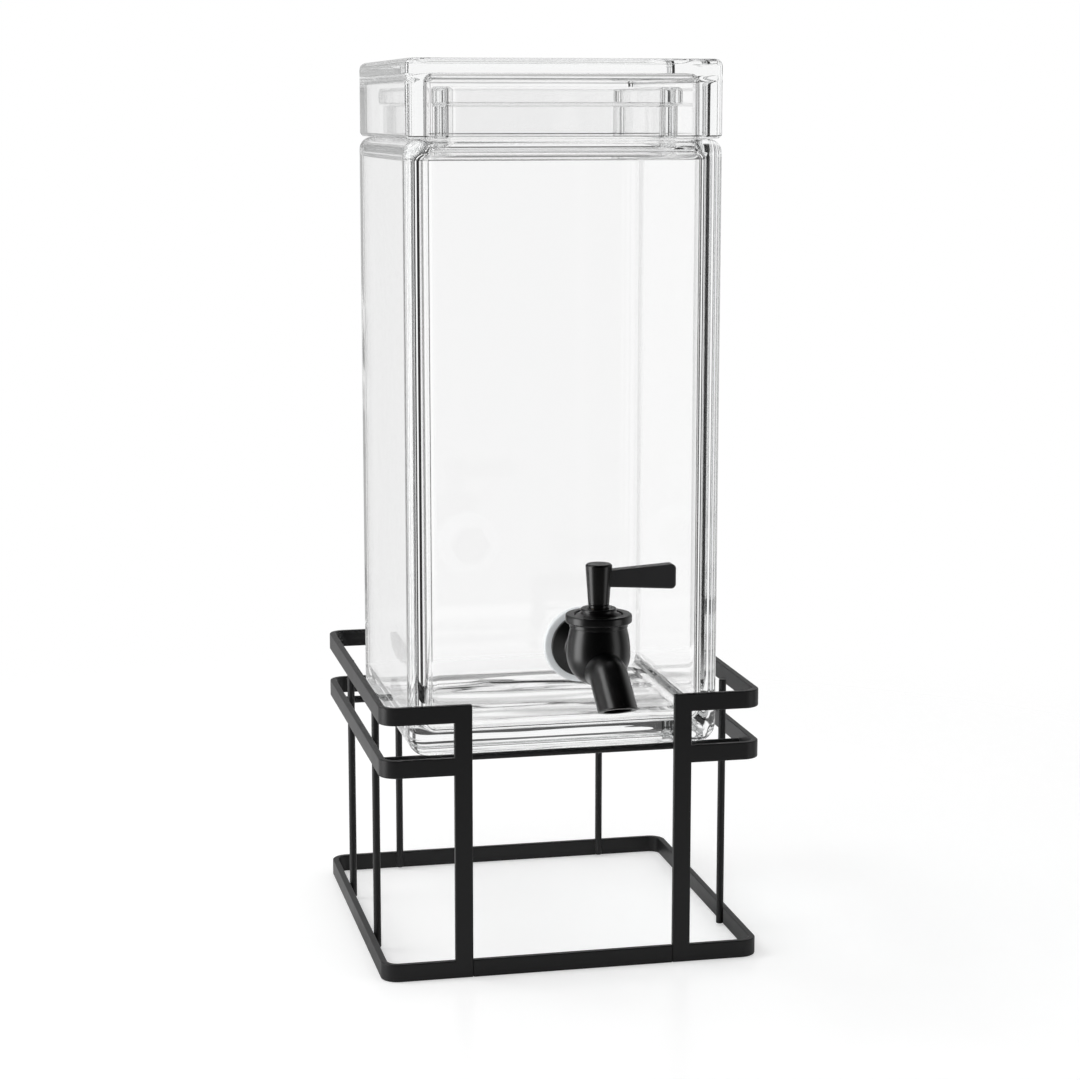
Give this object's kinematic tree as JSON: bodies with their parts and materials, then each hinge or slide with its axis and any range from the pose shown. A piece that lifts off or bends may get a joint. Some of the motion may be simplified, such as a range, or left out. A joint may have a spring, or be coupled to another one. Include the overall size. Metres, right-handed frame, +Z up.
{
  "type": "glass beverage dispenser",
  "caption": "Square glass drink dispenser with a lift-off glass lid and a quarter-turn lever tap, standing in an open black metal frame.",
  "frame": {"origin": "on the ground, under the middle of the square frame", "axes": "+Z up, the tap faces -Y, the shut lever points along +X"},
  "size_m": [0.2, 0.2739, 0.4655],
  "materials": {
    "black_steel": "satin",
    "tap_black": "satin",
    "clear_glass": "polished",
    "clear_silicone": "translucent",
    "seal_rubber": "matte",
    "plug_brass": "turned",
    "screw_steel": "satin"
  },
  "bodies": {
    "stand": {"upper_rail": "black_steel", "shelf_rail": "black_steel", "base_rail": "black_steel", "base_front_bar": "black_steel", "front_post_left": "black_steel", "front_post_right": "black_steel", "left_rod_front": "black_steel", "left_rod_rear": "black_steel", "right_rod_front": "black_steel", "right_rod_rear": "black_steel", "back_rod_left": "black_steel", "back_rod_right": "black_steel", "cross_rod_front": "black_steel", "cross_rod_rear": "black_steel"},
    "vessel": {"glass_jar": "clear_glass", "outer_washer": "clear_silicone", "inner_washer": "clear_silicone", "lock_nut": "tap_black", "tap_body": "tap_black", "bonnet": "tap_black", "gland_collar": "tap_black"},
    "lid": {"glass_lid": "clear_glass"},
    "tap_handle": {"valve_plug": "plug_brass", "plug_rings": "seal_rubber", "handle_hub": "tap_black", "lever": "tap_black", "hub_set_screw": "screw_steel"}
  },
  "joints": [
    {"name": "jar_lift", "type": "slide", "parent": "stand", "child": "vessel", "axis": [0, 0, 1], "range_m": [0, 0.05]},
    {"name": "lid_lift", "type": "slide", "parent": "vessel", "child": "lid", "axis": [0, 0, 1], "range_m": [0, 0.045]},
    {"name": "tap_turn", "type": "hinge", "parent": "vessel", "child": "tap_handle", "pos_m": [0.007, -0.122, 0.169], "axis": [0, 0, -1], "range_deg": [0, 90]}
  ]
}
